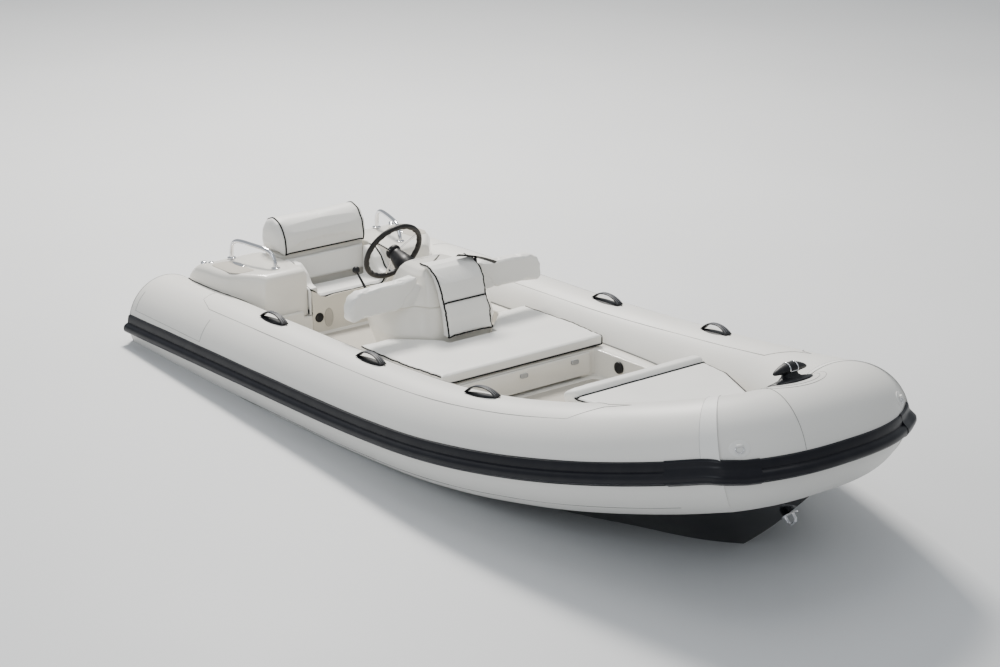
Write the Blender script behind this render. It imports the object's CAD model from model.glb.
import math
import bmesh
import bpy
import numpy as np
from mathutils import Matrix, Vector
from mathutils.bvhtree import BVHTree

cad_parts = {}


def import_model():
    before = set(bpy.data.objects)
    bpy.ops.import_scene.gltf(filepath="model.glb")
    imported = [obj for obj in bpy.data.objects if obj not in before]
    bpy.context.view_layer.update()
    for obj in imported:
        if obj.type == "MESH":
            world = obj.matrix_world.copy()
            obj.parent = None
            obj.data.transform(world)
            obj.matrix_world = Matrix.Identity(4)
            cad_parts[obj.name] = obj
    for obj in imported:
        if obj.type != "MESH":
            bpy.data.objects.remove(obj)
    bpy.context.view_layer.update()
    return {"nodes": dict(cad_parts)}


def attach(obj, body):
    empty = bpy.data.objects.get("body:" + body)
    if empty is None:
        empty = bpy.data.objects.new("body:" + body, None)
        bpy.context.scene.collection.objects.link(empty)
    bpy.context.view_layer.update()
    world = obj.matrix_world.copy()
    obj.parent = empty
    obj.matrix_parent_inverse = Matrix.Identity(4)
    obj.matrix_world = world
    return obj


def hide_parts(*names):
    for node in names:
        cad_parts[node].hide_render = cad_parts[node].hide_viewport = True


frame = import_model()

nodes = frame["nodes"]
scene = bpy.context.scene
sides = {"starboard": -1, "port": 1}
seatSteps = 20  # frames of cloth simulation

boat = dict(trimDeg=3.5, midship=2.165, halfSpacing=0.735, axisHeight=0.228, tubeRadius=0.232,
            bowRadius=0.245, mitre=3.99, bowStation=4.09, bowHeight=0.515)
trimCos = math.cos(math.radians(boat["trimDeg"]))
trimSin = math.sin(math.radians(boat["trimDeg"]))


# level (x, station forward of the stern, height) to world: y = midship - station, then the turn by the trim
def world(x, station, height):
    x, y, z = np.broadcast_arrays(x, boat["midship"] - np.asarray(station, float), height)
    return np.stack([x, trimCos * y + trimSin * z, -trimSin * y + trimCos * z], -1)


# direction given level as (x, forward, up)
def way(x, forward, up):
    return world(x, forward, up) - world(0, 0, 0)


upWay = way(0, 0, 1.0)


# level points (x, station, height) in one array to world
def turned(points):
    points = np.asarray(points, float)
    return world(points[..., 0], points[..., 1], points[..., 2])


# a shader node of a kind, its inputs or settings given by name
def colourNode(tree, kind, **values):
    node = tree.nodes.new(kind)
    for key, value in values.items():
        if key in node.inputs:
            node.inputs[key].default_value = value
        else:
            setattr(node, key, value)
    return node


# principled shader: colour (1 - mottle) c to c by noise, roughness 0.85 r to 1.2 r, bump at two scales
def surface(name, colour, rough, metal=0.0, coat=0.0, mottle=0.04, mottleScale=7.0, grain=900.0,
            grainHeight=0.15, waveScale=0.0, waveHeight=0.0, sheen=0.0, voronoi=False, dirt=None, shine=0.5):
    made = bpy.data.materials.new(name)
    made.use_nodes = True
    tree = made.node_tree
    shader = tree.nodes["Principled BSDF"]
    shader.inputs["Metallic"].default_value = metal
    shader.inputs["Coat Weight"].default_value = coat
    shader.inputs["Coat Roughness"].default_value = 0.08
    shader.inputs["Sheen Weight"].default_value = sheen
    shader.inputs["Specular IOR Level"].default_value = shine
    place = tree.nodes.new("ShaderNodeTexCoord")
    patches = colourNode(tree, "ShaderNodeTexNoise", Scale=mottleScale, Detail=5.0)
    tree.links.new(place.outputs["Object"], patches.inputs["Vector"])
    ramp = tree.nodes.new("ShaderNodeValToRGB")
    low = [c * (1 - mottle) for c in colour] if dirt is None else dirt
    ramp.color_ramp.elements[0].position = 0.30
    ramp.color_ramp.elements[1].position = 0.62
    ramp.color_ramp.elements[0].color = (*low, 1)
    ramp.color_ramp.elements[1].color = (*colour, 1)
    tree.links.new(patches.outputs["Fac"], ramp.inputs["Fac"])
    tree.links.new(ramp.outputs["Color"], shader.inputs["Base Color"])
    uneven = colourNode(tree, "ShaderNodeMapRange")
    uneven.inputs["To Min"].default_value = rough * 0.85
    uneven.inputs["To Max"].default_value = min(1.0, rough * 1.2)
    tree.links.new(patches.outputs["Fac"], uneven.inputs["Value"])
    tree.links.new(uneven.outputs["Result"], shader.inputs["Roughness"])
    kind = "ShaderNodeTexVoronoi" if voronoi else "ShaderNodeTexNoise"
    fine = colourNode(tree, kind, Scale=grain)
    tree.links.new(place.outputs["Object"], fine.inputs["Vector"])
    bump = colourNode(tree, "ShaderNodeBump", Strength=grainHeight, Distance=0.0004)
    tree.links.new(fine.outputs["Distance" if voronoi else "Fac"], bump.inputs["Height"])
    if waveScale:
        swell = colourNode(tree, "ShaderNodeTexNoise", Scale=waveScale, Detail=2.0)
        tree.links.new(place.outputs["Object"], swell.inputs["Vector"])
        wide = colourNode(tree, "ShaderNodeBump", Strength=waveHeight, Distance=0.004)
        tree.links.new(swell.outputs["Fac"], wide.inputs["Height"])
        tree.links.new(wide.outputs["Normal"], bump.inputs["Normal"])
    tree.links.new(bump.outputs["Normal"], shader.inputs["Normal"])
    return made


looks = dict(
    fabric=surface("collar_fabric", (0.80, 0.785, 0.745), 0.42, mottle=0.03, mottleScale=2.2,
                   grain=1300, grainHeight=0.12, waveScale=5, waveHeight=0.10, sheen=0.1),
    seam=surface("seam_grey", (0.22, 0.22, 0.21), 0.7, mottle=0.1),
    paleSeam=surface("seam_pale", (0.50, 0.495, 0.48), 0.6, mottle=0.06),
    tape=surface("tape_fabric", (0.83, 0.82, 0.79), 0.5, mottle=0.02, grain=1500, grainHeight=0.2),
    rubber=surface("strake_rubber", (0.0045, 0.005, 0.009), 0.34, mottle=0.3, mottleScale=12,
                   grain=500, grainHeight=0.2, dirt=(0.009, 0.0095, 0.013), shine=0.28),
    soft=surface("handle_rubber", (0.009, 0.0095, 0.012), 0.45, mottle=0.3, mottleScale=30,
                 grain=900, grainHeight=0.3, dirt=(0.016, 0.0165, 0.019), shine=0.3),
    strapGrey=surface("strap_grey", (0.17, 0.175, 0.19), 0.45, mottle=0.1, grain=1500),
    hull=surface("hull_gelcoat", (0.003, 0.004, 0.006), 0.20, coat=0.15, shine=0.3, mottle=0.1, grain=60,
                 grainHeight=0.02, waveScale=3, waveHeight=0.03),
    gel=surface("deck_gelcoat", (0.80, 0.775, 0.715), 0.24, coat=0.35, mottle=0.025, grain=40,
                grainHeight=0.02, waveScale=4, waveHeight=0.03),
    vinyl=surface("seat_vinyl", (0.82, 0.81, 0.775), 0.46, mottle=0.03, mottleScale=5, grain=1100,
                  grainHeight=0.30, voronoi=True, waveScale=9, waveHeight=0.10, sheen=0.15),
    piping=surface("piping_black", (0.006, 0.006, 0.007), 0.45, mottle=0.1, shine=0.2),
    cream=surface("cream_gelcoat", (0.70, 0.66, 0.575), 0.34, coat=0.2, mottle=0.04, grain=60,
                  grainHeight=0.03, waveScale=4, waveHeight=0.03),
    mat=surface("deck_mat", (0.47, 0.44, 0.385), 0.75, mottle=0.06, mottleScale=14, grain=420,
                grainHeight=0.9, voronoi=True),
    plastic=surface("black_plastic", (0.008, 0.008, 0.009), 0.40, mottle=0.15, grain=700,
                    grainHeight=0.25, shine=0.3),
    tint=surface("visor_tint", (0.012, 0.022, 0.060), 0.12, coat=0.6, mottle=0.1, grainHeight=0.02),
    leather=surface("wheel_leather", (0.010, 0.009, 0.009), 0.42, mottle=0.2, mottleScale=25,
                    grain=700, grainHeight=0.5, voronoi=True, shine=0.35),
    steel=surface("polished_steel", (0.80, 0.80, 0.82), 0.10, metal=1.0, mottle=0.04, grain=300,
                  grainHeight=0.03),
    alloy=surface("cast_alloy", (0.42, 0.43, 0.45), 0.42, metal=1.0, mottle=0.12, mottleScale=18,
                  grain=260, grainHeight=0.5),
    engine=surface("engine_paint", (0.05, 0.055, 0.06), 0.4, metal=0.3, mottle=0.15, grain=200),
)
print("materials made")


# mesh from points and faces: normals turned outward, laid at the origin, dressed in its look
def addMesh(name, points, faces, look, body="boat", stands=(), smooth=True):
    mesh = bpy.data.meshes.new(name)
    mesh.from_pydata(np.asarray(points, float).reshape(-1, 3).tolist(), [], faces)
    mesh.validate()
    shape = bmesh.new()
    shape.from_mesh(mesh)
    bmesh.ops.recalc_face_normals(shape, faces=shape.faces)
    shape.to_mesh(mesh)
    shape.free()
    made = bpy.data.objects.new(name, mesh)
    scene.collection.objects.link(made)
    return dress(made, look, body, stands, smooth)


# look, shading, body, slot and the frame nodes that a piece stands for
def dress(made, look, body="boat", stands=(), smooth=True):
    made.data.materials.clear()
    made.data.materials.append(looks[look])
    made.data.shade_smooth() if smooth else made.data.shade_flat()
    if smooth:
        made.data.set_sharp_from_angle(angle=math.radians(50))
    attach(made, body)
    if stands:
        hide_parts(*stands)
    return made


# faces of a grid of rows, each row joined in a loop, with a fan or a flat cap on the ends
def gridFaces(rows, cols, loop=True, caps=True):
    at = np.arange(rows * cols).reshape(rows, cols)
    nxt = np.roll(at, -1, 1) if loop else at[:, 1:]
    here = at if loop else at[:, :-1]
    quads = np.stack([here[:-1], nxt[:-1], nxt[1:], here[1:]], -1).reshape(-1, 4).tolist()
    if caps and loop:
        quads.append(at[0, ::-1].tolist())
        quads.append(at[-1].tolist())
    return quads


# closed surface from a grid of looped rows
def addGrid(name, grid, look, **more):
    return addMesh(name, grid, gridFaces(grid.shape[0], grid.shape[1]), look, **more)


# Catmull-Rom curve b + s/2 ((c-a) + s ((2a-5b+4c-d) + s (3b-a-3c+d))), count points evenly by parameter
def smoothPath(points, count, closed=False):
    points = np.asarray(points, float)
    n = len(points)
    t = np.linspace(0, n if closed else n - 1, count, endpoint=not closed)
    i = np.minimum(t.astype(int), n - 1 if closed else n - 2)
    s = (t - i).reshape((-1,) + (1,) * (points.ndim - 1))
    near = [i + k for k in (-1, 0, 1, 2)]
    a, b, c, d = (points[k % n if closed else np.clip(k, 0, n - 1)] for k in near)
    return b + 0.5 * s * ((c - a) + s * ((2 * a - 5 * b + 4 * c - d) + s * (3 * b - a - 3 * c + d)))


# round rod p + r (cos v side + sin v up) along a path, its frame turned as little as possible
def rodGrid(path, radius, around=8, squashUp=1.0):
    path = np.asarray(path, float)
    along = np.gradient(path, axis=0)
    along /= np.linalg.norm(along, axis=1)[:, None]
    radius = np.broadcast_to(radius, len(path))
    side = np.cross(along[0], (0, 0, 1.0))
    if np.linalg.norm(side) < 0.1:
        side = np.cross(along[0], (1.0, 0, 0))
    turn = np.linspace(0, 2 * math.pi, around, endpoint=False)
    rows = []
    for p, a, r in zip(path, along, radius):
        side = side - a * side.dot(a)
        side /= np.linalg.norm(side)
        up = np.cross(side, a)
        rows.append(p + r * (np.outer(np.cos(turn), side) + squashUp * np.outer(np.sin(turn), up)))
    return np.array(rows)


# one rod as its own piece
def addRod(name, path, radius, look, around=8, **more):
    return addGrid(name, rodGrid(path, radius, around), look, **more)


# several rods in one mesh
def addRods(name, paths, radius, look, around=6, **more):
    points, faces, start = [], [], 0
    for path in paths:
        grid = rodGrid(path, radius, around)
        points.append(grid.reshape(-1, 3))
        faces += [[k + start for k in face] for face in gridFaces(*grid.shape[:2])]
        start += grid.shape[0] * grid.shape[1]
    return addMesh(name, np.concatenate(points), faces, look, **more)


# profile of (radius, height) pairs turned about an axis: centre + r (cos v side + sin v other) + h axis
def addTurned(name, centre, axis, profile, look, around=40, stretch=(1, 1), **more):
    axis = np.asarray(axis, float) / np.linalg.norm(axis)
    side = np.cross(axis, (0, 0, 1.0) if abs(axis[2]) < 0.9 else (1.0, 0, 0))
    side /= np.linalg.norm(side)
    other = np.cross(axis, side)
    turn = np.linspace(0, 2 * math.pi, around, endpoint=False)
    ring = stretch[0] * np.outer(np.cos(turn), side) + stretch[1] * np.outer(np.sin(turn), other)
    rows = [np.asarray(centre) + r * ring + h * axis for r, h in profile]
    return addGrid(name, np.array(rows), look, **more)


# rounded square wave of a sine or cosine: sign(v) |v|^power, a superellipse when used for both ways
def squared(v, power):
    return np.sign(v) * np.abs(v) ** power


# a flat plate with rounded corners and edges: half sizes a, b, thickness, laid by a centre and two ways
def addPlate(name, centre, wayA, wayB, half, thick, corner, look, **more):
    wayA, wayB = (np.asarray(w, float) / np.linalg.norm(w) for w in (wayA, wayB))
    out = np.cross(wayA, wayB)
    turn = np.linspace(0, 2 * math.pi, 48, endpoint=False)
    ring = (half[0] * np.outer(squared(np.cos(turn), corner), wayA)
            + half[1] * np.outer(squared(np.sin(turn), corner), wayB))
    rows = []
    for share, lift in ((0.985, 0), (1, 0.25), (1, 0.7), (0.985, 0.92), (0.95, 1.0), (0.5, 1.0)):
        rows.append(np.asarray(centre) + share * ring + out * thick * lift)
    return addGrid(name, np.array(rows), look, **more)


# side tube's axis: half width b - 0.124 (s - 2.3)^2.1, height h + 0.033 (s - 1.6)^2.4 at station s
def sideCentre(station):
    station = np.asarray(station, float)
    drawn = 0.124 * np.maximum(0, station - 2.3) ** 2.1
    rise = 0.033 * np.maximum(0, station - 1.6) ** 2.4
    return boat["halfSpacing"] - drawn, boat["axisHeight"] + rise


# tube radius: even to station 3, then growing evenly to the bow's
def radiusAt(station):
    share = np.clip(np.asarray(station, float) - 3.0, 0, 1)
    return boat["tubeRadius"] + (boat["bowRadius"] - boat["tubeRadius"]) * share


# bow tube's axis at share -1 to 1: x = h share, station falls by |share|^2.5, height by share^2
def bowCentre(share):
    share = np.asarray(share, float)
    half, height = sideCentre(boat["mitre"])
    ahead = boat["bowStation"] - (boat["bowStation"] - boat["mitre"]) * np.abs(share) ** 2.5
    return half * share, ahead, boat["bowHeight"] - (boat["bowHeight"] - height) * share ** 2


# level point with y aft of midship, before the trim
def levelPoint(x, station, height):
    return np.stack(np.broadcast_arrays(x, boat["midship"] - np.asarray(station, float), height), -1)


# turn of level points by the trim
def toWorld(points):
    y, z = points[..., 1], points[..., 2]
    return np.stack([points[..., 0], trimCos * y + trimSin * z, -trimSin * y + trimCos * z], -1)


# v / |v|
def unit(v):
    return v / np.linalg.norm(v, axis=-1, keepdims=True)


# corner point, normal a + b halfway between the two axes, and the side axis a
def mitrePlane(side):
    half, height = sideCentre(boat["mitre"])
    corner = levelPoint(side * half, boat["mitre"], height)
    aftHalf, aftHeight = sideCentre(3.86)
    a = unit(corner - levelPoint(side * aftHalf, 3.86, aftHeight))
    b = unit(levelPoint(*bowCentre(0.72 * side)) - corner)
    return corner, unit(a + b), a


# the way along a side's axis, outward and up, at each station
def sideFrame(side, station):
    half, height = sideCentre(station)
    ahead, lift = sideCentre(np.asarray(station) + 0.01)
    centre = levelPoint(side * half, station, height)
    along = unit(levelPoint(side * ahead, np.asarray(station) + 0.01, lift) - centre) * side
    outward = unit(np.cross((0, 0, 1.0), along))
    return centre, along, outward, np.cross(along, outward)


# a side tube's skin: centre + (r + lift) (cos a outward + sin a up), angle a from outward over the top
def onSide(side, station, angleDeg, lift=0.0):
    centre, _, outward, up = sideFrame(side, station)
    angle = np.radians(angleDeg)
    reach = radiusAt(station) + lift
    return toWorld(centre + outward * (reach * np.cos(angle))[..., None]
                   + up * (reach * np.sin(angle))[..., None])


# the bow tube's skin in the same way, at share -1 to 1 along it
def onBow(share, angleDeg, lift=0.0):
    share = np.asarray(share, float)
    centre = levelPoint(*bowCentre(share))
    along = unit(levelPoint(*bowCentre(share + 0.01)) - levelPoint(*bowCentre(share - 0.01)))
    outward = unit(np.cross((0, 0, 1.0), -along))
    up = np.cross(-along, outward)
    angle = np.radians(angleDeg)
    reach = boat["bowRadius"] + lift
    return toWorld(centre + outward * (reach * np.cos(angle))[..., None]
                   + up * (reach * np.sin(angle))[..., None])


# sweep of a section, given as (outward, up) pairs by station, from one station to the mitre:
# the last row slides along the axis by (corner - p).n / a.n, so the end lies in the mitre plane
def sideSweep(side, sectionAt, start, count):
    stations = np.linspace(start, 3.86, count)
    centre, along, outward, up = sideFrame(side, stations)
    rows = []
    for k, s in enumerate(stations):
        shape = sectionAt(s)
        rows.append(centre[k] + shape[:, :1] * outward[k] + shape[:, 1:] * up[k])
    corner, normal, axis = mitrePlane(side)
    outAtEnd = unit(np.cross((0, 0, 1.0), axis * side))
    upAtEnd = np.cross(axis * side, outAtEnd)
    shape = sectionAt(boat["mitre"])
    last = corner + shape[:, :1] * outAtEnd + shape[:, 1:] * upAtEnd
    slide = ((corner - last) @ normal) / (axis @ normal)
    last = last + slide[:, None] * axis
    for share in np.linspace(0, 1, 13)[1:]:
        rows.append(rows[count - 1] * (1 - share) + last * share)
    return np.array(rows)


# sweep of a section along the bow tube, cut at both mitre planes in the same way
def bowSweep(sectionAt, count=90):
    shares = np.linspace(-1, 1, count)
    centre = levelPoint(*bowCentre(shares))
    along = unit(np.gradient(centre, axis=0))
    outward = unit(np.cross((0, 0, 1.0), -along))
    up = np.cross(-along, outward)
    shape = sectionAt(boat["mitre"])
    grid = centre[:, None] + shape[None, :, :1] * outward[:, None] + shape[None, :, 1:] * up[:, None]
    for side in (-1, 1):
        corner, normal, _ = mitrePlane(side)
        # points beyond the mitre plane slide back onto it along the tube
        past = (grid - corner) @ normal
        push = past < 0
        step = -past / np.where(np.abs(along @ normal) < 0.2, 1, (along @ normal))[:, None]
        near = (shares * side > 0.3)[:, None]
        ends = np.zeros_like(push)
        ends[0 if side < 0 else -1] = True
        move = (push & near) | ends
        grid = grid + np.where(move, step, 0)[..., None] * along[:, None]
    return grid


# (cos v, sin v)
def circle(count):
    turn = np.linspace(0, 2 * math.pi, count, endpoint=False)
    return np.stack([np.cos(turn), np.sin(turn)], 1)


collar = dict(around=112, rows=170, domeLength=0.062, pucker=0.0007)


# round section, very slightly uneven: radius + pucker sin(9 s + 3 v) sin(4.3 s)
def tubeSection(station):
    ring = circle(collar["around"])
    turn = np.arctan2(ring[:, 1], ring[:, 0])
    ripple = collar["pucker"] * np.sin(9 * station + 3 * turn) * np.sin(4.3 * station)
    return ring * (radiusAt(station) + ripple)[:, None]


for name, side in sides.items():
    grid = sideSweep(side, tubeSection, 0.0, collar["rows"])
    centre, along, outward, up = sideFrame(side, np.array([0.0]))
    dome = []
    for t in np.linspace(0.98, 0.0, 14)[:-1] * math.pi / 2:
        ring = circle(collar["around"]) * boat["tubeRadius"] * math.cos(t) ** 0.9
        middle = centre[0] - along[0] * side * collar["domeLength"] * math.sin(t)
        dome.append(middle + ring[:, :1] * outward[0] + ring[:, 1:] * up[0])
    grid = np.concatenate([np.array(dome), grid])
    addGrid(name + "_collar_tube", toWorld(grid), "fabric", stands=(name + "_tube",))
addGrid("bow_collar_tube", toWorld(bowSweep(tubeSection)), "fabric", stands=("bow_tube",))
print("collar made")

strake = dict(flange=0.0095, ridge=0.037)


# rubbing strake: a thin flange above, a rounded ridge, a groove and a narrow flange below
def strakeSection(station):
    r = radiusAt(station)
    t, g = strake["flange"], strake["ridge"]
    outline = np.array([
        (-0.006, 0.0545), (0.004, 0.0550), (0.0085, 0.0535), (t, 0.0500), (t + 0.001, 0.0380),
        (t + 0.0015, 0.0200), (t + 0.001, 0.0165), (0.0125, 0.0145), (0.0170, 0.0130),
        (0.0240, 0.0095), (0.0310, 0.0040), (0.0355, -0.0040), (g, -0.0120), (g, -0.0200),
        (0.0350, -0.0270), (0.0300, -0.0330), (0.0230, -0.0365), (0.0160, -0.0380),
        (0.0125, -0.0390), (0.0120, -0.0415), (0.0110, -0.0450), (0.0080, -0.0478),
        (0.0020, -0.0490), (-0.006, -0.0480), (-0.005, 0.0)])
    fine = smoothPath(outline, 96, closed=True)
    return np.stack([fine[:, 0] + np.sqrt(np.maximum(r * r - fine[:, 1] ** 2, 0.01)), fine[:, 1]], 1)


# smooth corner cover without the ridge, set off the tube's skin sqrt(r^2 - up^2)
def capSection(station):
    r = radiusAt(station)
    outline = np.array([(0.0, 0.056), (0.0105, 0.054), (0.0125, 0.030), (0.026, 0.012), (0.0385, -0.004),
                        (0.0392, -0.022), (0.031, -0.036), (0.0140, -0.046), (0.002, -0.050),
                        (-0.004, 0.0)])
    fine = smoothPath(outline, 60, closed=True)
    return np.stack([fine[:, 0] + np.sqrt(np.maximum(r * r - fine[:, 1] ** 2, 0.01)), fine[:, 1]], 1)


for name, side in sides.items():
    addGrid(name + "_rubbing_strake", toWorld(sideSweep(side, strakeSection, 0.0, 150)[:-6]), "rubber",
            stands=(name + "_strake",))
addGrid("bow_rubbing_strake", toWorld(bowSweep(strakeSection, 90)[5:-5]), "rubber",
        stands=("bow_strake",))


# corner cover: side rows and bow rows joined in one run, then averaged along it so the corner rounds
def cornerCover(side):
    near = sideSweep(side, capSection, 3.86 - 0.05, 6)[3:]
    across = bowSweep(capSection, 161)
    across = across[:15] if side < 0 else across[::-1][:15]
    rows = np.concatenate([near, across[1:]])
    for _ in range(12):
        rows[1:-1] = (rows[:-2] + 2 * rows[1:-1] + rows[2:]) / 4
    corner, normal, _ = mitrePlane(side)
    away = np.abs((rows.mean(1) - corner) @ normal)
    push = 0.011 * np.exp(-(away / 0.05) ** 2)
    return rows + push[:, None, None] * unit(np.array((side * 0.72, -0.69, 0.0)))


for name, side in sides.items():
    addGrid(name + "_strake_corner", toWorld(cornerCover(side)), "rubber")
print("strakes made")

seams = dict(radius=0.0011, outer=61, inner=114)


# line on a side tube's skin through (station, angle) pairs, straight in both: a (1 - t) + b t
def straightRun(side, pairs, each=24, lift=0.0004):
    pieces = []
    for a, b in zip(pairs[:-1], pairs[1:]):
        share = np.linspace(0, 1, each, endpoint=False)[:, None]
        pieces.append(np.asarray(a, float) * (1 - share) + np.asarray(b, float) * share)
    pairs = np.concatenate(pieces + [np.asarray([pairs[-1]], float)])
    return onSide(side, pairs[:, 0], pairs[:, 1], lift)


# the tube's section set out by the band's thickness
def bandSection(station):
    return tubeSection(station) * (1 + 0.0016 / radiusAt(station))


for name, side in sides.items():
    paths = [
        straightRun(side, [(0.46, 98), (0.50, 74), (0.62, 63), (3.36, seams["outer"]), (3.50, 84),
                           (3.62, 88)]),
        straightRun(side, [(0.62, 116), (3.36, seams["inner"]), (3.50, 92), (3.62, 88)]),
        straightRun(side, [(0.0, -60), (0.0, 0), (0.0, 60), (0.0, 120), (0.0, 200)]),
        straightRun(side, [(0.3, -42), (2.0, -43), (3.84, -44)]),
    ]
    addRods(name + "_collar_seams", paths, seams["radius"], "seam", around=5)
    # the welded band over the corner joint: the collar's own rows there, lifted a little
    lifted = sideSweep(side, bandSection, 3.80, 6)[-6:]
    lifted = np.concatenate([lifted[:1] * 0.5 + lifted[1:2] * 0.5, lifted[1:]])
    arc = slice(1, 58)
    upper = lifted[:, arc]
    centre = lifted.mean(1, keepdims=True)
    under = centre + (upper - centre) * 0.985
    band = np.concatenate([under[:1], upper, under[-1:]])
    addGrid(name + "_corner_band", toWorld(band.transpose(1, 0, 2)), "tape")
    addRods(name + "_band_edges", [toWorld(upper[0]), toWorld(upper[-1])], 0.0010, "paleSeam", around=5)
    # blank patch on the outer stern, edged by a fine line
    patch = straightRun(side, [(0.045, 50), (0.045, 22), (0.70, 19), (0.70, 50)], each=30)
    addRods(name + "_patch_edge", [patch], 0.0009, "seam", around=5)
t = np.linspace(0, 1, 50)
addRods("bow_collar_seams", [onBow(-0.45 + 0 * t, 128 - 114 * t, 0.0004)], seams["radius"], "seam",
        around=5)
print("seams made")

grip = dict(length=0.205, half=0.0200, lift=0.034, thick=0.0075, patchWide=0.034)


# a side tube's skin at a distance across from its top: angle 90 - across / r, as an arc
def nearTop(side, station, across, lift):
    reach = radiusAt(station) + lift
    return onSide(side, station, 90 - np.degrees(np.asarray(across) / reach), lift)


# arched strap: a rounded bar carried over lift (1 - |t|^2.4), with three ribs laid along it
def handle(name, side, middle):
    t = np.linspace(-1, 1, 48)
    arch = grip["lift"] * (1 - np.abs(t) ** 2.4)
    wide = grip["half"] * (0.72 + 0.28 * np.abs(t) ** 2)
    v = np.linspace(0, 2 * math.pi, 24, endpoint=False)
    across, depth = squared(np.cos(v), 0.5), squared(np.sin(v), 0.7)
    station = (middle + t * grip["length"] / 2)[:, None] + 0 * v
    grid = nearTop(side, station, wide[:, None] * across,
                   0.0055 + arch[:, None] + grip["thick"] / 2 * depth)
    addGrid(name + "_strap", grid, "soft", stands=(name,))
    ribs = [nearTop(side, middle + t * grip["length"] / 2 * 0.97, share * wide,
                    0.0055 + arch + grip["thick"] * 0.46) for share in (-0.55, 0, 0.55)]
    addRods(name + "_ribs", ribs, 0.0021, "strapGrey", around=6)
    # pointed oval patch under each foot: a low dome with a pointed outline
    turn = np.linspace(0, 2 * math.pi, 64, endpoint=False)
    rows = []
    for share in (1.0, 0.985, 0.93, 0.75, 0.5, 0.2):
        reach = share * (grip["length"] / 2 + 0.022) * np.cos(turn)
        width = share * grip["patchWide"] * squared(np.sin(turn), 1.5)
        rows.append(nearTop(side, middle + reach, width, -0.001 + 0.0052 * (1 - share ** 6)))
    addGrid(name + "_patch", np.array(rows), "soft")


for name, side in sides.items():
    handle(name + "_handle_aft", side, 1.07)
    handle(name + "_handle_middle", side, 1.92)
    handle(name + "_handle_forward", side, 2.78)
print("handles made")

post = dict(station=3.985, baseLong=0.121, baseWide=0.076, hornHalf=0.098)


# height of the bow tube's skin at a place: axis height + sqrt(r^2 - (station - axis station)^2)
def bowSkin(x, station):
    _, ahead, height = bowCentre(np.clip(np.asarray(x) / sideCentre(boat["mitre"])[0], -1, 1))
    return height + np.sqrt(np.maximum(boat["bowRadius"] ** 2 - (station - ahead) ** 2, 0))


turn = np.linspace(0, 2 * math.pi, 72, endpoint=False)
rows = []
for share, lift in ((1.0, -0.003), (0.99, 0.003), (0.93, 0.007), (0.75, 0.0105), (0.5, 0.016),
                    (0.36, 0.028), (0.30, 0.045), (0.24, 0.052)):
    x = share * post["baseLong"] * squared(np.cos(turn), 0.85)
    f = post["station"] + share * post["baseWide"] * np.sin(turn) * np.abs(np.sin(turn)) ** 0.25
    pull = max(0.0, lift - 0.012) / 0.04
    f = post["station"] + (f - post["station"]) * (1 + 0.35 * pull)
    rows.append(turned(np.stack([x, f, bowSkin(x, f) * (1 - pull) + bowSkin(0, post["station"]) * pull
                                 + lift], -1)))
addGrid("bollard_base", np.array(rows), "soft", stands=("bow_bollard",))
crown = float(bowSkin(0, post["station"]))
t = np.linspace(-1, 1, 60)
path = turned(np.stack([post["hornHalf"] * t, post["station"] + 0 * t,
                        crown + 0.062 - 0.014 * np.abs(t) ** 2], -1))
girth = 0.0285 * np.sqrt(np.maximum(1 - np.abs(t) ** 4, 0.002)) * (0.80 + 0.20 * np.cos(t * 3.1))
horns = rodGrid(path, girth, 32, 0.85)
addGrid("bollard_horns", horns, "soft")
for k, x in enumerate((-0.022, 0.022)):
    v = np.linspace(-0.25, math.pi + 0.25, 40)
    band = turned(np.stack([x + 0 * v, post["station"] + 0.0290 * np.cos(v),
                            crown + 0.061 + 0.0248 * np.sin(v)], -1))
    addRod("bollard_band_%d" % (k + 1), band, 0.0026, "steel", around=8)
bandSpread = np.linspace(-0.022, 0.022, 12)
band = turned(np.array([(x, post["station"] + 0.0286, crown + 0.054) for x in bandSpread]))
addRod("bollard_band_bottom", band, 0.0026, "steel", around=8)
rings = []
for size in (1.22, 1.48):
    x = size * post["baseLong"] * np.cos(turn)
    f = post["station"] + size * (post["baseWide"] + 0.01) * np.sin(turn)
    f = np.append(f, f[0])
    x = np.append(x, x[0])
    rings.append(turned(np.stack([x, f, bowSkin(x, f) + 0.0003], -1)))
addRods("bollard_patch_lines", rings, 0.0009, "seam", around=5)
print("bollard made")

# towing rings on oval patches low on the bow, just above the strake, one near each corner
towRing = dict(share=0.955, angle=25.0, patchLong=0.075, patchHigh=8.5, ringLong=0.030, ringHigh=3.4,
               wire=0.0024)
for name, side in sides.items():
    share0, angle0 = side * towRing["share"], towRing["angle"]
    turn = np.linspace(0, 2 * math.pi, 48, endpoint=False)
    rows = [onBow(share0 + k * towRing["patchLong"] * np.cos(turn),
                  angle0 + k * towRing["patchHigh"] * np.sin(turn), h)
            for k, h in ((1.0, -0.001), (0.985, 0.0022), (0.9, 0.003), (0.4, 0.0034))]
    addGrid(name + "_ring_patch", np.array(rows), "tape")
    ring = onBow(share0 + towRing["ringLong"] * np.cos(turn),
                 angle0 - 1.0 + towRing["ringHigh"] * np.sin(turn), 0.0075)
    addRod(name + "_towing_ring", np.concatenate([ring, ring[:1]]), towRing["wire"], "steel", around=8)
    t = np.linspace(-1, 1, 16)
    strap = onBow(share0 + 0.020 * t, angle0 + 2.6, 0.0065 + 0.004 * (1 - t ** 2))
    addRod(name + "_ring_strap", strap, 0.006, "tape", around=8)

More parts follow.
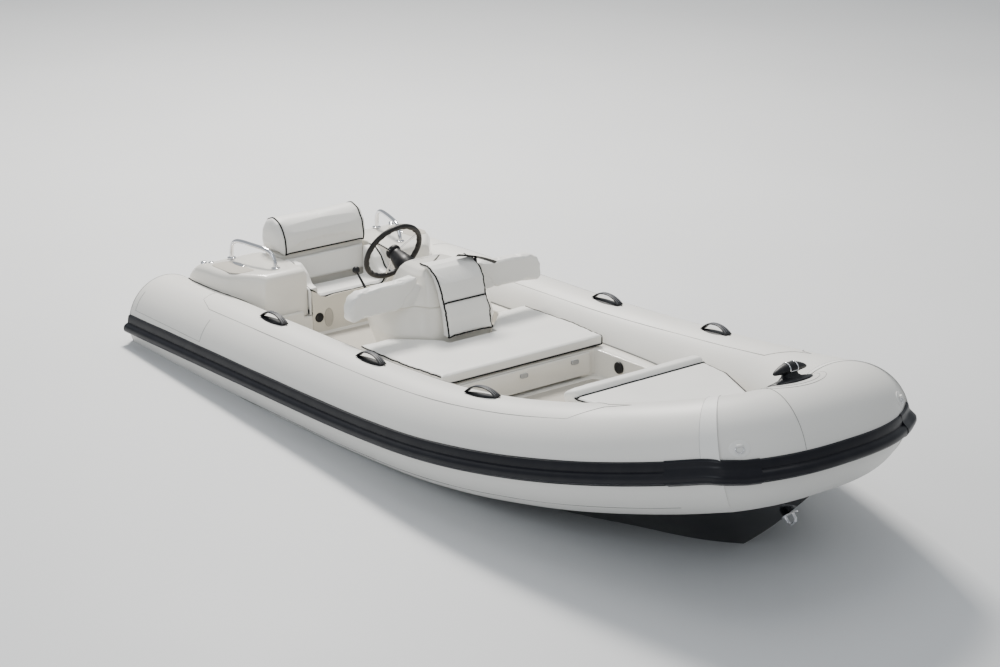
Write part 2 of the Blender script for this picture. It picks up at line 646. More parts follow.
# a frame node's own shape, its points merged and its edges steeper than the angle rounded to a width
def moulded(name, node, look, width=0.006, body="boat", angle=30, segments=3, flat=1.0):
    mesh = nodes[node].data.copy()
    shape = bmesh.new()
    shape.from_mesh(mesh)
    bmesh.ops.remove_doubles(shape, verts=shape.verts, dist=2e-5)
    bmesh.ops.dissolve_limit(shape, angle_limit=math.radians(flat), verts=shape.verts,
                             edges=shape.edges)
    shape.to_mesh(mesh)
    shape.free()
    made = bpy.data.objects.new(name, mesh)
    scene.collection.objects.link(made)
    if width:
        edge = made.modifiers.new("edges", "BEVEL")
        edge.width = width
        edge.segments = segments
        edge.limit_method = "ANGLE"
        edge.angle_limit = math.radians(angle)
        fresh = bpy.data.meshes.new_from_object(made.evaluated_get(bpy.context.evaluated_depsgraph_get()))
        made.modifiers.clear()
        made.data = fresh
    dress(made, look, body, (node,))
    return made


moulded("hull_shell", "hull", "hull", 0.004, angle=40, flat=0.2)
moulded("cockpit_moulding", "cockpit_liner", "gel", 0.010)
moulded("forward_moulding", "forward_liner", "gel", 0.010)
moulded("bow_deck_moulding", "bow_deck", "gel", 0.010)
moulded("aft_deck_moulding", "aft_deck", "gel", 0.008)
moulded("hatch_panel", "engine_hatch", "gel", 0.008, body="hatch")
moulded("locker_door_panel", "locker_door", "gel", 0.004, body="forward_door")
moulded("bow_lid_panel", "bow_lid", "gel", 0.004, body="bow_locker_lid")
print("mouldings made")

# shoulders beside the backrest; rows hold station, outer half width and height of the top
shoulder = dict(inner=0.272, base=0.303, round=0.040, deck=0.5597)
deckPad = dict(x=0.568, station=0.415, halfLong=0.125, halfWide=0.062)
cleat = dict(x=0.512, station=0.390, halfLong=0.056, halfWide=0.0165)
rail = dict(radius=0.0115, through=[
    (0.470, 0.255, 0.556), (0.470, 0.257, 0.590), (0.469, 0.266, 0.632), (0.466, 0.292, 0.657),
    (0.458, 0.335, 0.6645), (0.440, 0.420, 0.660), (0.420, 0.500, 0.652), (0.407, 0.545, 0.636),
    (0.402, 0.566, 0.606), (0.400, 0.575, 0.575), (0.400, 0.576, 0.556)])
shoulderRows = np.array([(0.048, 0.600, 0.360), (0.052, 0.615, 0.400), (0.070, 0.630, 0.440),
                         (0.110, 0.648, 0.490), (0.170, 0.660, 0.532), (0.230, 0.664, 0.551),
                         (0.320, 0.668, 0.5585), (0.420, 0.664, 0.5595), (0.500, 0.648, 0.5595),
                         (0.560, 0.612, 0.5595), (0.600, 0.580, 0.5590), (0.630, 0.556, 0.5570),
                         (0.652, 0.540, 0.5500), (0.666, 0.530, 0.5380), (0.670, 0.526, 0.5150)])


# each row: up the inner wall, over the top with rounded edges top - r (1 - cos q), down the outer wall
def shoulderShape(side):
    rows = smoothPath(shoulderRows, 70)
    grid = []
    for station, outer, top in rows:
        r = min(shoulder["round"], (top - shoulder["base"]) * 0.45)
        a = np.linspace(0, math.pi / 2, 14)
        small = 0.012
        loop = [(shoulder["inner"], shoulder["base"])]
        loop += [(shoulder["inner"] + small * (1 - math.cos(q)), top - small * (1 - math.sin(q)))
                 for q in a]
        loop += [(outer - r * 1.1 * (1 - math.sin(q)), top - r * (1 - math.cos(q))) for q in a]
        loop += [(outer + 0.004, (top + shoulder["base"]) / 2), (outer + 0.006, shoulder["base"])]
        loop = np.array(loop)
        grid.append(world(side * loop[:, 0], station, loop[:, 1]))
    return np.array(grid)


for name, side in sides.items():
    addGrid(name + "_shoulder_moulding", shoulderShape(side), "gel", stands=(name + "_shoulder",))
    t = np.linspace(0.075, 0.668, 80)
    outer = np.interp(t, shoulderRows[:, 0], shoulderRows[:, 1]) + 0.003
    z = boat["axisHeight"] + np.sqrt(boat["tubeRadius"] ** 2 - (outer - boat["halfSpacing"]) ** 2)
    thick = 0.0035 + 0.0045 * np.clip((t - 0.56) / 0.06, 0, 1)
    addRod(name + "_shoulder_gasket", world(side * outer, t, z + 0.002), thick, "soft", around=8)
    # raised non-slip pad with a steel pop-up cleat let into it
    t = np.linspace(0, 2 * math.pi, 80, endpoint=False)
    rows = []
    for share, lift in ((1.0, -0.002), (0.99, 0.0012), (0.96, 0.0018), (0.3, 0.0018)):
        f = deckPad["station"] + share * deckPad["halfLong"] * squared(np.cos(t), 0.35)
        x = deckPad["x"] + share * deckPad["halfWide"] * squared(np.sin(t), 0.45)
        x = x - 0.35 * np.maximum(0, f - 0.49)
        rows.append(world(side * x, f, shoulder["deck"] + lift))
    addGrid(name + "_shoulder_pad", np.array(rows), "mat")
    rows = []
    for share, lift in ((1.0, 0.000), (1.0, 0.0035), (0.93, 0.0055), (0.80, 0.0050), (0.60, 0.0030),
                        (0.35, 0.0045), (0.1, 0.0050)):
        x = cleat["x"] + share * cleat["halfWide"] * np.sin(t)
        f = cleat["station"] + share * cleat["halfLong"] * np.cos(t)
        rows.append(world(side * x, f, shoulder["deck"] + lift))
    addGrid(name + "_popup_cleat", np.array(rows), "steel")
    for k, (x, f) in enumerate(((0.585, 0.235), (0.610, 0.200))):
        addTurned("%s_deck_fitting_%d" % (name, k + 1), world(side * x, f, 0.5400), upWay,
                  [(0.017, 0), (0.0165, 0.012), (0.012, 0.0155), (0.001, 0.016)], "steel", around=28)
    # grab rail: a bent tube between two flanges
    controls = np.array(rail["through"]) * (side, 1, 1)
    addRod(name + "_rail_tube", turned(smoothPath(controls, 90)), rail["radius"], "steel", around=20,
           stands=(name + "_grab_rail",))
    for k, (x, f) in enumerate(((0.470, 0.255), (0.400, 0.576))):
        addTurned("%s_rail_flange_%d" % (name, k + 1), world(side * x, f, shoulder["deck"]), upWay,
                  [(0.024, 0), (0.024, 0.003), (0.020, 0.0055), (0.013, 0.007)], "steel", around=32)
print("shoulders made")


# a half outline of (x, station) pairs and its mirror image as one closed loop
def halfLoop(outline):
    right = np.array(outline, float)
    return np.concatenate([right, right[::-1] * (-1, 1)])


# p - amount n, with n the outward normal of the loop in its plane
def insetLoop(loop, amount):
    ahead = np.roll(loop, -1, 0) - np.roll(loop, 1, 0)
    outward = np.stack([ahead[:, 1], -ahead[:, 0]], 1)
    outward /= np.linalg.norm(outward, axis=1)[:, None]
    middle = loop.mean(0)
    if ((loop - middle) * outward).sum() < 0:
        outward = -outward
    return loop - outward * amount


# height and half outline as (x, station) pairs, aft to forward
consoleRows = [(0.2035, [(0.05, 1.238), (0.13, 1.240), (0.20, 1.270), (0.27, 1.400),
                         (0.30, 1.500), (0.20, 1.60), (0.135, 1.655)]),
               (0.300, [(0.05, 1.224), (0.155, 1.228), (0.245, 1.258), (0.303, 1.380),
                        (0.312, 1.500), (0.21, 1.61), (0.135, 1.664)]),
               (0.400, [(0.06, 1.216), (0.18, 1.220), (0.28, 1.250), (0.328, 1.360),
                        (0.318, 1.500), (0.22, 1.61), (0.135, 1.668)]),
               (0.470, [(0.06, 1.211), (0.19, 1.214), (0.295, 1.245), (0.332, 1.350),
                        (0.305, 1.490), (0.20, 1.60), (0.135, 1.658)]),
               (0.520, [(0.06, 1.208), (0.20, 1.210), (0.310, 1.240), (0.334, 1.340),
                        (0.292, 1.485), (0.19, 1.59), (0.135, 1.645)])]


# body: outlines blended evenly between the heights, then the flat shelf with a rounded edge
def consoleBody():
    rows = []
    heights = np.array([h for h, _ in consoleRows])
    loops = np.array([smoothPath(halfLoop(o), 160, closed=True) for _, o in consoleRows])
    for z in np.linspace(heights[0], heights[-1], 30):
        share = np.interp(z, heights, np.arange(len(heights)))
        rows.append((blendRows(loops, share), z))
    top = rows[-1][0]
    for inset, z in ((0.0010, 0.528), (0.0040, 0.5355), (0.0095, 0.5415), (0.0170, 0.5450), (0.03, 0.5458)):
        rows.append((insetLoop(top, inset), z))
    return np.array([world(loop[:, 0], loop[:, 1], z) for loop, z in rows])


# loop between two rows: low (1 - part) + high part
def blendRows(loops, share):
    low = int(min(math.floor(share), len(loops) - 2))
    part = share - low
    return loops[low] * (1 - part) + loops[low + 1] * part


# height, inset and half outline
hoodRows = [(0.545, 0.0, [(0.05, 1.232), (0.15, 1.240), (0.180, 1.290), (0.198, 1.370),
                          (0.240, 1.490), (0.19, 1.590), (0.135, 1.640)]),
            (0.556, 0.002, [(0.05, 1.238), (0.148, 1.246), (0.174, 1.290), (0.194, 1.370),
                            (0.236, 1.490), (0.19, 1.590), (0.135, 1.638)]),
            (0.590, 0.0, [(0.05, 1.250), (0.140, 1.258), (0.160, 1.300), (0.180, 1.370),
                          (0.214, 1.485), (0.18, 1.580), (0.133, 1.626)]),
            (0.640, 0.0, [(0.05, 1.275), (0.125, 1.282), (0.145, 1.315), (0.162, 1.375),
                          (0.180, 1.475), (0.165, 1.560), (0.128, 1.604)]),
            (0.680, 0.0, [(0.05, 1.300), (0.115, 1.306), (0.134, 1.330), (0.146, 1.380),
                          (0.158, 1.465), (0.150, 1.540), (0.122, 1.580)]),
            (0.703, 0.003, [(0.05, 1.322), (0.104, 1.328), (0.122, 1.345), (0.132, 1.390),
                            (0.138, 1.462), (0.132, 1.520), (0.113, 1.558)]),
            (0.712, 0.012, [(0.05, 1.330), (0.098, 1.336), (0.114, 1.350), (0.124, 1.392),
                            (0.130, 1.460), (0.126, 1.514), (0.109, 1.552)]),
            (0.7145, 0.028, [(0.05, 1.336), (0.09, 1.342), (0.106, 1.354), (0.116, 1.394),
                             (0.122, 1.458), (0.118, 1.508), (0.103, 1.546)])]


# hood: outlines drawn in by their insets and blended evenly from row to row
def hoodShape():
    loops = np.array([insetLoop(smoothPath(halfLoop(o), 160, closed=True), inset)
                      for _, inset, o in hoodRows])
    heights = np.array([row[0] for row in hoodRows])
    spread = np.linspace(0, len(heights) - 1, 60)
    grid = []
    for share in spread:
        z = np.interp(share, np.arange(len(heights)), heights)
        loop = blendRows(loops, share)
        grid.append(world(loop[:, 0], loop[:, 1], z))
    return np.array(grid)


addGrid("console_body", consoleBody(), "gel", stands=("console",))
addGrid("console_hood", hoodShape(), "gel")

# instrument pod: a small domed box with a slanted dark face toward the helm
pod = dict(x=-0.060, station=1.395, foot=0.655, half=0.062, face=(0.050, 0.020))
t = np.linspace(0, 2 * math.pi, 72, endpoint=False)
rows = []
for share, lift in ((1.0, 0.0), (0.99, 0.02), (0.95, 0.036), (0.85, 0.048), (0.62, 0.055), (0.3, 0.058)):
    x = pod["x"] + share * pod["half"] * squared(np.cos(t), 0.6)
    f = pod["station"] + share * pod["half"] * squared(np.sin(t), 0.6)
    rows.append(world(x, f, pod["foot"] + lift))
addGrid("instrument_pod", np.array(rows), "gel")
addPlate("gauge_face", world(pod["x"], 1.333, 0.681), way(-1, 0, 0), way(0, 0.42, 0.9), pod["face"],
         0.004, 0.45, "tint")

# tinted blade of the dash visor, wide and thin, rising to starboard, on a short foot
visor = dict(wide=0.028, thin=0.0022, droop=0.3)
t = np.linspace(0, 1, 30)
bladeTop = np.stack([0.045 + 0.205 * t, 1.570 + 0.050 * t,
                     0.762 - 0.064 * t + 0.010 * np.sin(math.pi * t)], -1)
swell = 0.35 + 0.65 * np.sin(math.pi * np.clip(t, 0.03, 0.97))
rows = []
for a in np.linspace(0, 2 * math.pi, 16, endpoint=False):
    wide = visor["wide"] * math.cos(a)
    rows.append(bladeTop + np.stack([0 * t, wide * swell,
                                     visor["thin"] * math.sin(a) + visor["droop"] * wide + 0 * t], -1))
addGrid("dash_visor", turned(np.array(rows).transpose(1, 0, 2)), "plastic")
foot = [(0.140, 1.592, 0.700), (0.142, 1.592, 0.718), (0.144, 1.590, 0.736)]
addRod("dash_visor_foot", turned(smoothPath(foot, 10)), np.linspace(0.011, 0.007, 10), "plastic",
       around=14)
print("console made")

# steering wheel: a torus whose inner side has finger bumps, three flat spokes and a hub
wheelAt = dict(x=-0.03, station=1.12, height=0.70, rake=26, radius=0.160)
rake = math.radians(wheelAt["rake"])
hubPoint = world(wheelAt["x"], wheelAt["station"], wheelAt["height"])
aftUp = way(0, -math.cos(rake), math.sin(rake))
planeUp = way(0, math.sin(rake), math.cos(rake))
planeSide = np.array((1.0, 0, 0))
phi = np.linspace(0, 2 * math.pi, 181)[:-1]
theta = np.linspace(0, 2 * math.pi, 24, endpoint=False)
spokes = np.radians((-90, 33, 147))
near = np.min(np.abs((phi[:, None] - spokes + math.pi) % (2 * math.pi) - math.pi), 1)
bumps = 0.0026 * np.maximum(0, np.cos(phi * 22)) * (near > 0.16)
girth = 0.0138 + bumps[:, None] * np.maximum(0, -np.cos(theta))
ringWay = np.cos(phi)[:, None] * planeSide + np.sin(phi)[:, None] * planeUp
rim = (hubPoint + wheelAt["radius"] * ringWay[:, None]
       + (girth * np.cos(theta))[..., None] * ringWay[:, None]
       + (girth * np.sin(theta))[..., None] * aftUp)
faces = gridFaces(181, 24, caps=False)
faces = [[v % (180 * 24) for v in face] for face in faces]
addMesh("wheel_rim", rim, faces, "leather", body="wheel", stands=("steering_wheel",))
for k, angle in enumerate(spokes):
    outWay = math.cos(angle) * planeSide + math.sin(angle) * planeUp
    t = np.linspace(0, 1, 24)[:, None]
    path = hubPoint + outWay * (0.030 + 0.118 * t) + aftUp * (-0.012 + 0.012 * np.sin(t * math.pi / 2))
    grid = rodGrid(path, 0.0075 - 0.0015 * np.sin(math.pi * t[:, 0]), 16)
    middle = path[:, None]
    flat = (grid - middle) @ aftUp
    grid = grid - flat[..., None] * aftUp * 0.55
    addGrid("wheel_spoke_%d" % (k + 1), grid, "steel", body="wheel")
addTurned("wheel_hub", hubPoint, aftUp,
          [(0.001, -0.018), (0.036, -0.0178), (0.0405, -0.012), (0.0415, -0.002), (0.038, 0.008),
           (0.030, 0.013), (0.012, 0.0155), (0.001, 0.016)], "plastic", body="wheel")
addTurned("helm_column", hubPoint, -aftUp, [(0.001, 0.0195), (0.034, 0.0195), (0.036, 0.024), (0.037, 0.040),
                                            (0.041, 0.044), (0.042, 0.060), (0.046, 0.064), (0.047, 0.085),
                                            (0.051, 0.090), (0.052, 0.118), (0.058, 0.122), (0.060, 0.150)],
          "plastic", stands=("steering_column",))

# throttle: a slim lever with a ball, out of a low boot
t = np.linspace(0, 1, 24)[:, None]
throttle = dict(foot=(-0.290, 1.268, 0.5475), top=(-0.3095, 1.198, 0.657), knob=(-0.311, 1.192, 0.670),
                knobRadius=0.0195, boot=(-0.286, 1.271, 0.5462))
foot, top = np.array(throttle["foot"]), np.array(throttle["top"])
path = turned(foot + (top - foot) * t + (0, 0.004, 0) * np.sin(math.pi * t))
addRod("throttle_stick", path, np.linspace(0.0085, 0.0048, 24), "plastic", around=16,
       stands=("throttle_lever",))
ball = [(throttle["knobRadius"] * math.sin(a), -throttle["knobRadius"] * math.cos(a))
        for a in np.linspace(0.06, math.pi - 0.02, 22)]
addTurned("throttle_ball", turned(throttle["knob"]), path[-1] - path[0], ball, "plastic", around=32)
addTurned("throttle_boot", turned(throttle["boot"]), upWay,
          [(0.025, 0), (0.0247, 0.004), (0.021, 0.008), (0.016, 0.011), (0.010, 0.013), (0.001, 0.0135)],
          "soft", around=36, stretch=(1.0, 0.75))
print("helm made")


# world to level: the turn by the trim undone
def levelOf(points):
    y, z = points[..., 1], points[..., 2]
    return np.stack([points[..., 0], trimCos * y - trimSin * z, trimSin * y + trimCos * z], -1)


# vertex places, or normals, as one array
def coords(mesh, normals=False):
    data = np.empty(len(mesh.vertices) * 3)
    mesh.vertices.foreach_get("normal" if normals else "co", data)
    return data.reshape(-1, 3)


# the object's modifiers made part of its mesh
def applied(made):
    graph = bpy.context.evaluated_depsgraph_get()
    mesh = bpy.data.meshes.new_from_object(made.evaluated_get(graph))
    made.modifiers.clear()
    made.data = mesh
    return mesh


# cloth settings that every pad shares
filling = dict(quality=4, mass=0.3, use_pressure=True, uniform_pressure_force=4.0, tension_stiffness=12,
               compression_stiffness=12, shear_stiffness=6, bending_stiffness=0.6)


# a pad from its own solid: remeshed, drawn in by shrink, filled under pressure with each point's move
# held to cap, never past its start by more than outward, pinched at seams by depth exp(-(gap / reach)^2)
def cushion(name, node, body="boat", voxel=0.006, soften=8, shrink=0.005, cap=0.010, outward=0.002,
            form=None, seamsAt=(), depth=0.004, reach=0.012, finer=True, look="vinyl"):
    made = bpy.data.objects.new(name, nodes[node].data.copy())
    scene.collection.objects.link(made)
    block = made.modifiers.new("remesh", "REMESH")
    block.mode = "VOXEL"
    block.voxel_size = voxel
    relax = made.modifiers.new("relax", "SMOOTH")
    relax.iterations = soften
    relax.factor = 0.5
    mesh = applied(made)
    solid = levelOf(coords(nodes[node].data))
    low, high = solid.min(0), solid.max(0)
    start = coords(mesh)
    if form is not None:
        start = toWorld(form(levelOf(start)))
        mesh.vertices.foreach_set("co", start.ravel())
        mesh.update()
    normal = coords(mesh, True)
    points = start - normal * shrink
    if seatSteps:
        mesh.vertices.foreach_set("co", points.ravel())
        mesh.update()
        cloth = made.modifiers.new("fill", "CLOTH")
        for key, value in filling.items():
            setattr(cloth.settings, key, value)
        cloth.settings.effector_weights.gravity = 0
        cloth.point_cache.frame_start = 1
        cloth.point_cache.frame_end = seatSteps
        for frameNumber in range(1, seatSteps + 1):
            scene.frame_set(frameNumber)
        mesh = applied(made)
        scene.frame_set(1)
        moved = coords(mesh) - points
        moved -= moved.mean(0)
        long = np.linalg.norm(moved, axis=1)[:, None]
        points = points + moved * np.minimum(1, cap / np.maximum(long, 1e-9))
        past = ((points - start) * normal).sum(1)
        points = points - normal * np.maximum(0, past - outward)[:, None]
    else:
        points = start - normal * 0.001
    for path in seamsAt:
        path = turned(path)
        gap = np.full(len(points), 1.0)
        for k in range(0, len(points), 20000):
            part = points[k:k + 20000, None] - path[None]
            gap[k:k + 20000] = np.sqrt((part ** 2).sum(-1)).min(1)
        points = points - normal * (depth * np.exp(-(gap / reach) ** 2))[:, None]
    inside = np.clip(levelOf(points), low, high)
    mesh.vertices.foreach_set("co", toWorld(inside).ravel())
    mesh.update()
    if finer:
        fine = made.modifiers.new("fine", "SUBSURF")
        fine.levels = fine.render_levels = 1
        mesh = applied(made)
    dress(made, look, body, (node,))
    made.data.set_sharp_from_angle(angle=math.radians(80))
    return made


# count points at even lengths along a line of points
def denser(path, count=160):
    path = np.asarray(path, float)
    lengths = np.r_[0, np.cumsum(np.linalg.norm(np.diff(path, axis=0), axis=1))]
    even = np.linspace(0, lengths[-1], count)
    return np.stack([np.interp(even, lengths, path[:, k]) for k in range(3)], 1)


# piping: a round cord whose axis stands 0.35 r above the pad's skin, laid along a line
def piping(name, pad, paths, radius=0.0042, body="boat", look="piping"):
    mesh = pad.data
    tree = BVHTree.FromPolygons([v.co for v in mesh.vertices], [list(p.vertices) for p in mesh.polygons])
    laid = []
    for path in paths:
        onSkin = []
        for point in turned(path):
            hit, normal, _, _ = tree.find_nearest(Vector(point))
            onSkin.append(np.array(hit) + np.array(normal) * radius * 0.35)
        onSkin = np.array(onSkin)
        for _ in range(4):
            onSkin[1:-1] = (onSkin[:-2] + 2 * onSkin[1:-1] + onSkin[2:]) / 4
        laid.append(onSkin)
    return addRods(name, laid, radius, look, around=8, body=body)


roll = [(0.452, 0.566), (0.458, 0.600), (0.442, 0.680), (0.400, 0.742), (0.340, 0.765), (0.280, 0.745),
        (0.240, 0.690), (0.228, 0.620), (0.238, 0.566)]


# the roll's ends drawn in toward its axis: 1 - 0.30 t^2.2 over the last 35 mm
def rollEnds(p):
    x = p[:, 0]
    t = np.clip((np.abs(x) - 0.250) / 0.035, 0, 1)
    centre = np.array((boat["midship"] - 0.345, 0.655))
    p = p.copy()
    p[:, 1:] = centre + (p[:, 1:] - centre) * (1 - 0.30 * t ** 2.2)[:, None]
    return p


rollSeams = [denser([(side * 0.252, f, z) for f, z in smoothPath(roll, 60)]) for side in (-1, 1)]
rollFront = denser([(-0.252, 0.454, 0.572), (0.252, 0.454, 0.572)])
pad = cushion("backrest_pad", "backrest", "hatch", form=rollEnds, seamsAt=rollSeams, shrink=0.004)
piping("backrest_piping", pad, rollSeams + [rollFront], body="hatch")
pad = cushion("seat_back_pad", "seat_back_panel", "hatch", voxel=0.004, shrink=0.002, cap=0.004, soften=4)
print("backrest made")

gusset = smoothPath([(1.735, 0.400), (1.722, 0.500), (1.692, 0.590), (1.665, 0.665), (1.625, 0.715),
                     (1.570, 0.738), (1.490, 0.740)], 60)
rear = [(1.490, 0.716), (1.560, 0.716), (1.592, 0.682), (1.625, 0.622), (1.655, 0.536), (1.680, 0.400)]
consoleSeams = [denser([(side * 0.143, f, z) for f, z in gusset]) for side in (-1, 1)]
across = [denser([(-0.143, 1.700, 0.575), (0.143, 1.700, 0.575)]),
          denser([(-0.143, 1.735, 0.402), (0.143, 1.735, 0.402)])]
pad = cushion("console_pad", "console_cushion", seamsAt=consoleSeams + across[:1], finer=False, voxel=0.005,
              depth=0.003)
back = denser([(0.144, f, z) for f, z in rear])
piping("console_piping", pad, consoleSeams + across + [back], radius=0.0044)  # rear edge on the port side only
for name in sides:
    pad = cushion(name + "_wing_pad", name + "_wing_backrest", soften=14, shrink=0.004)
print("console pads made")

seatLine = [(-0.262, 0.476, 0.560), (-0.262, 0.520, 0.558), (-0.262, 0.560, 0.545), (-0.262, 0.600, 0.520),
            (-0.262, 0.640, 0.465), (-0.262, 0.690, 0.440)]
frontLine = [(-0.262, 0.692, 0.440), (-0.235, 0.694, 0.425), (-0.205, 0.695, 0.400), (-0.17, 0.695, 0.390),
             (-0.13, 0.695, 0.398), (0.13, 0.695, 0.398), (0.17, 0.695, 0.390), (0.205, 0.695, 0.400),
             (0.235, 0.694, 0.425), (0.262, 0.692, 0.440)]
mirrored = [(-x, f, z) for x, f, z in seatLine]
pad = cushion("rear_seat_pad", "rear_seat", soften=10, shrink=0.004)
piping("rear_seat_piping", pad, [denser(seatLine), denser(mirrored), denser(frontLine, 200)])
# soft filler in the gap between the seat's sides and the mouldings beside it
for name, side in sides.items():
    filler = smoothPath([(side * 0.2675, f - 0.006, z - 0.006) for _, f, z in seatLine]
                        + [(side * 0.2675, 0.690, 0.38), (side * 0.2675, 0.690, 0.304)], 60)
    addRod(name + "_seat_filler", turned(filler), 0.0058, "vinyl", around=10)
print("rear seat made")

pad = cushion("forward_seat_pad", "forward_cushion", finer=False, soften=14, shrink=0.005)
lowerEdge = denser([(-0.500, 2.170, 0.345), (0.500, 2.170, 0.345)])
cornerEdge = denser([(0.500, 2.170, 0.345), (0.506, 2.168, 0.368), (0.507, 2.150, 0.390)])
sideEdge = [denser([(s * 0.507, 2.150, 0.391), (s * 0.520, 2.0, 0.393), (s * 0.532, 1.90, 0.393),
                    (s * 0.530, 1.52, 0.393)]) for s in (-1, 1)]
piping("forward_seat_piping", pad, [lowerEdge, cornerEdge] + sideEdge)
print("forward seat made")


# the pad's raised aft edge and its flat top forward of it, one step of 26 mm as 1 / (1 + e^-u)
def bowForm(p):
    p = p.copy()
    station = boat["midship"] - p[:, 1]
    flat = 1 / (1 + np.exp(-(station - 3.022) / 0.006))
    above = np.clip((p[:, 2] - 0.46) / 0.06, 0, 1)
    p[:, 2] -= 0.026 * flat * above
    return p


bowSeam = denser([(-0.405, 3.030, 0.494), (0.405, 3.030, 0.494)])
edge = smoothPath([(0.414, 2.99), (0.395, 3.15), (0.385, 3.2), (0.300, 3.40), (0.222, 3.588)], 40)
bowEdges = [denser([(s * (x - 0.004), f, 0.497) for x, f in edge if f > 3.03]) for s in (-1, 1)]
pad = cushion("bow_pad", "bow_cushion", "bow_locker_lid", finer=False, soften=14, form=bowForm,
              seamsAt=[bowSeam], depth=0.006, reach=0.010)
piping("bow_pad_piping", pad, [bowSeam] + bowEdges, body="bow_locker_lid")
print("bow pad made")

# floor mat: a polygon with corners (1-q)^2 a + 2q(1-q) b + q^2 c, stacked in thin rows of shrinking size
def mat(name, corners, height, round=0.04):
    corners = np.array(corners, float)
    middle = corners.mean(0)
    rows = []
    for share, lift in ((1.0, -0.0005), (0.998, 0.0018), (0.99, 0.0024), (0.5, 0.0024)):
        loop = []
        n = len(corners)
        for k in range(n):
            a, b, c = corners[k - 1], corners[k], corners[(k + 1) % n]
            before = b + (a - b) / np.linalg.norm(a - b) * round
            after = b + (c - b) / np.linalg.norm(c - b) * round
            for q in np.linspace(0, 1, 10):
                loop.append((1 - q) ** 2 * before + 2 * q * (1 - q) * b + q ** 2 * after)
        loop = middle + (np.array(loop) - middle) * share
        rows.append(world(loop[:, 0], loop[:, 1], height + lift))
    return addGrid(name, np.array(rows), "mat")


sole = 0.2002  # top of both wells' floors, with the paint
mat("helm_mat", [(-0.42, 0.745), (-0.42, 1.455), (-0.335, 1.455), (-0.30, 1.20), (0.30, 1.20),
                 (0.335, 1.455), (0.42, 1.455), (0.42, 0.745)], sole, round=0.03)
mat("bow_well_mat", [(-0.40, 2.215), (-0.40, 2.89), (0.40, 2.89), (0.40, 2.215)], sole)

# dark line where the decks meet the tubes
gaskets = []
for side in (-1, 1):
    t = np.linspace(0.70, 2.98, 120)
    half, height = sideCentre(t)
    x = half - np.sqrt(np.maximum(radiusAt(t) ** 2 - (0.337 - height) ** 2, 0.0001)) - 0.0015
    gaskets.append(world(side * x, t, 0.3375))
addRods("deck_gaskets", gaskets, 0.0030, "seam", around=6)

# latches on the locker's front, vent and recess on the seat's front wall
latch = dict(places=(0.30, -0.02), station=2.1795, height=0.2985, half=(0.023, 0.0125), thick=0.009)
for k, x in enumerate(latch["places"]):
    addPlate("locker_latch_%d" % (k + 1), world(x, latch["station"], latch["height"]), way(1, 0, 0),
             upWay, latch["half"], latch["thick"], 0.6, "alloy", body="forward_door")
addTurned("helm_vent", world(-0.225, 0.7045, 0.285), way(0, 0.01, 0),
          [(0.026, 0), (0.026, 0.004), (0.022, 0.006), (0.018, 0.003), (0.001, 0.002)], "plastic", around=32)
addPlate("bow_well_speaker", world(0.4385, 2.36, 0.285), way(0, 1, 0), upWay, (0.030, 0.030), 0.012,
         0.95, "plastic")
# steel locker stay on the starboard wall: a wall plate and a folded arm
addPlate("stay_plate", world(-0.4385, 2.60, 0.285), way(0, -1, 0), upWay, (0.042, 0.024), 0.008, 0.5,
         "plastic")
arm = smoothPath([(-0.428, 2.575, 0.280), (-0.405, 2.585, 0.300), (-0.392, 2.605, 0.312),
                  (-0.405, 2.630, 0.300), (-0.428, 2.640, 0.280)], 30)
addRod("stay_arm", turned(arm), 0.0085, "alloy", around=12)

# front of the rear seat's moulding: a skin whose upper edge follows the pad's piping
seatFront = dict(half=0.262, station=0.7035, foot=0.2015, bulge=0.0022, below=0.004)
recess = dict(x=-0.165, station=0.7062, height=0.275, halfWide=0.028, halfHigh=0.052)
t = np.linspace(-seatFront["half"], seatFront["half"], 90)
edgeLine = np.array(frontLine)
upper = np.interp(t, edgeLine[:, 0], edgeLine[:, 2]) - seatFront["below"]
rows = []
for share in np.linspace(0, 1, 14):
    bulge = seatFront["bulge"] * np.sin(math.pi * share)
    height = seatFront["foot"] + (upper - seatFront["foot"]) * share
    rows.append(world(t, seatFront["station"] + bulge, height))
front = np.array(rows)
behind = front - way(0, 0.005, 0)
addGrid("seat_front_skin", np.concatenate([front, behind[::-1]]).transpose(1, 0, 2), "cream")
hollow = []
turn = np.linspace(0, 2 * math.pi, 48, endpoint=False)
for share, lift in ((1.0, 0.0), (1.0, 0.0016), (0.90, 0.0018), (0.84, -0.001), (0.5, -0.0016)):
    hollow.append(world(recess["x"] + share * recess["halfWide"] * np.cos(turn), recess["station"] + lift,
                        recess["height"] + share * recess["halfHigh"] * np.sin(turn)))
addGrid("seat_front_recess", np.array(hollow), "mat")

# roots of the console's side backrests, filling the corner between pad and hood
wingRoot = dict(x=0.235, height=0.600, halfWide=0.066, halfHigh=0.058)
turn = np.linspace(0, 2 * math.pi, 64, endpoint=False)
for name, side in sides.items():
    rows = []
    for share, f in ((0.86, 1.4865), (0.97, 1.4905), (1.0, 1.498), (1.0, 1.542), (0.97, 1.5495),
                     (0.86, 1.5535)):
        x = wingRoot["x"] + share * wingRoot["halfWide"] * squared(np.cos(turn), 0.4)
        z = wingRoot["height"] + share * wingRoot["halfHigh"] * squared(np.sin(turn), 0.4)
        rows.append(world(side * x, f, z))
    addGrid(name + "_wing_root", np.array(rows), "vinyl")
print("trim made")

# what is left of the frame takes the same materials
frameLooks = dict(jet_pump="alloy", steering_nozzle="alloy", reverse_bucket="alloy", impeller="alloy",
                  intake_grate="steel", engine="engine", bow_eye="steel")
for key, node in nodes.items():
    if not node.hide_render:
        node.data.materials.clear()
        node.data.materials.append(looks[frameLooks.get(key, "gel")])
print("frame dressed")

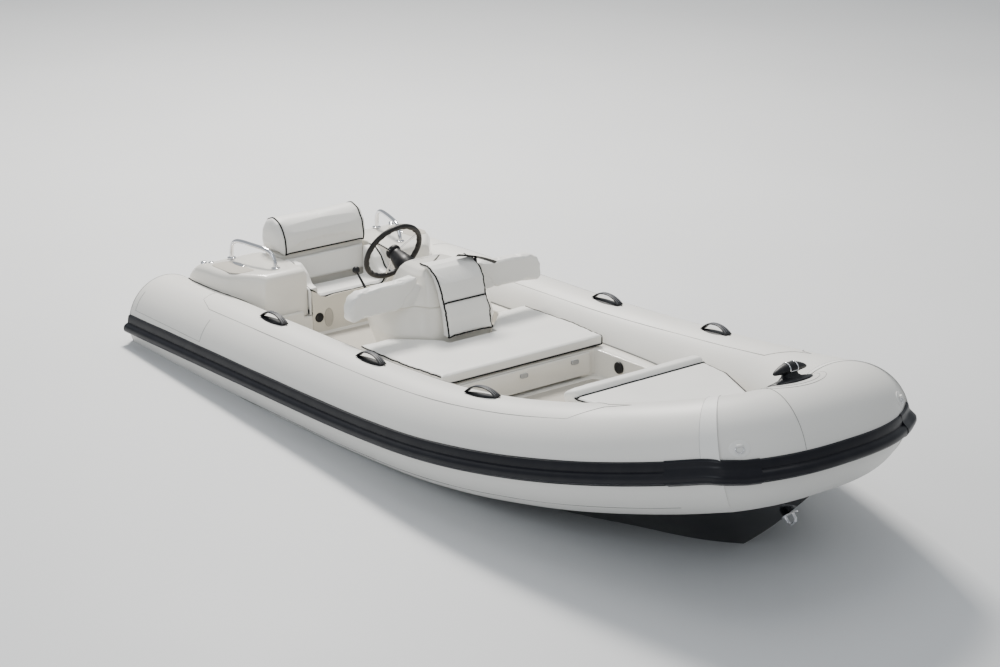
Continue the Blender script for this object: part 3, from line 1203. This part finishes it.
# floor at the waterline
floor = bpy.data.meshes.new("studio_floor")
turn = np.linspace(0, 2 * math.pi, 96, endpoint=False)
rim = np.stack([40 * np.cos(turn), 40 * np.sin(turn), 0 * turn], 1)
floor.from_pydata(rim.tolist(), [], [list(range(96))])
floorObject = bpy.data.objects.new("studio_floor", floor)
scene.collection.objects.link(floorObject)
pale = surface("floor_pale", (0.70, 0.71, 0.72), 0.55, mottle=0.02, mottleScale=0.6, grain=30,
               grainHeight=0.02)
floor.materials.append(pale)

studio = dict(sky=(0.90, 0.95, 1.0, 1), skyStrength=0.50, lens=88.305, sensor=36)
sky = bpy.data.worlds.new("studio") if scene.world is None else scene.world
scene.world = sky
sky.use_nodes = True
sky.node_tree.nodes["Background"].inputs["Color"].default_value = studio["sky"]
sky.node_tree.nodes["Background"].inputs["Strength"].default_value = studio["skyStrength"]


# rectangular lamp at a place, looking at a target
def softLamp(name, place, target, size, watts, colour):
    lamp = bpy.data.lights.new(name, "AREA")
    lamp.shape = "RECTANGLE"
    lamp.size, lamp.size_y = size
    lamp.energy = watts
    lamp.color = colour
    made = bpy.data.objects.new(name, lamp)
    made.location = place
    made.rotation_euler = (Vector(target) - Vector(place)).to_track_quat("-Z", "Y").to_euler()
    scene.collection.objects.link(made)


lamps = dict(
    key_light=dict(place=(2.5, 6.0, 7.5), target=(0, 0, 0.4), size=(2.2, 2.2), watts=1500,
                   colour=(1.0, 0.965, 0.91)),
    fill_light=dict(place=(-8.0, -3.0, 5.0), target=(0, 0, 0.3), size=(5.0, 4.0), watts=150,
                    colour=(0.90, 0.95, 1.0)),
    top_light=dict(place=(0.0, 0.0, 7.0), target=(0, 0, 0), size=(5.0, 5.0), watts=120,
                   colour=(1.0, 1.0, 1.0)))
for name, setting in lamps.items():
    softLamp(name, **setting)

# camera ahead of the starboard side and above, its axes in the matrix's columns
lens = bpy.data.cameras.new("studio_camera")
lens.lens = studio["lens"]
lens.sensor_width = studio["sensor"]
lens.clip_end = 100
camera = bpy.data.objects.new("studio_camera", lens)
camera.matrix_world = Matrix(((0.78947, 0.19904, -0.58063, -6.9912),
                              (-0.6134, 0.28996, -0.73462, -8.6234),
                              (0.02213, 0.93611, 0.351, 4.6715), (0, 0, 0, 1)))
scene.collection.objects.link(camera)
scene.camera = camera
print("stage set")
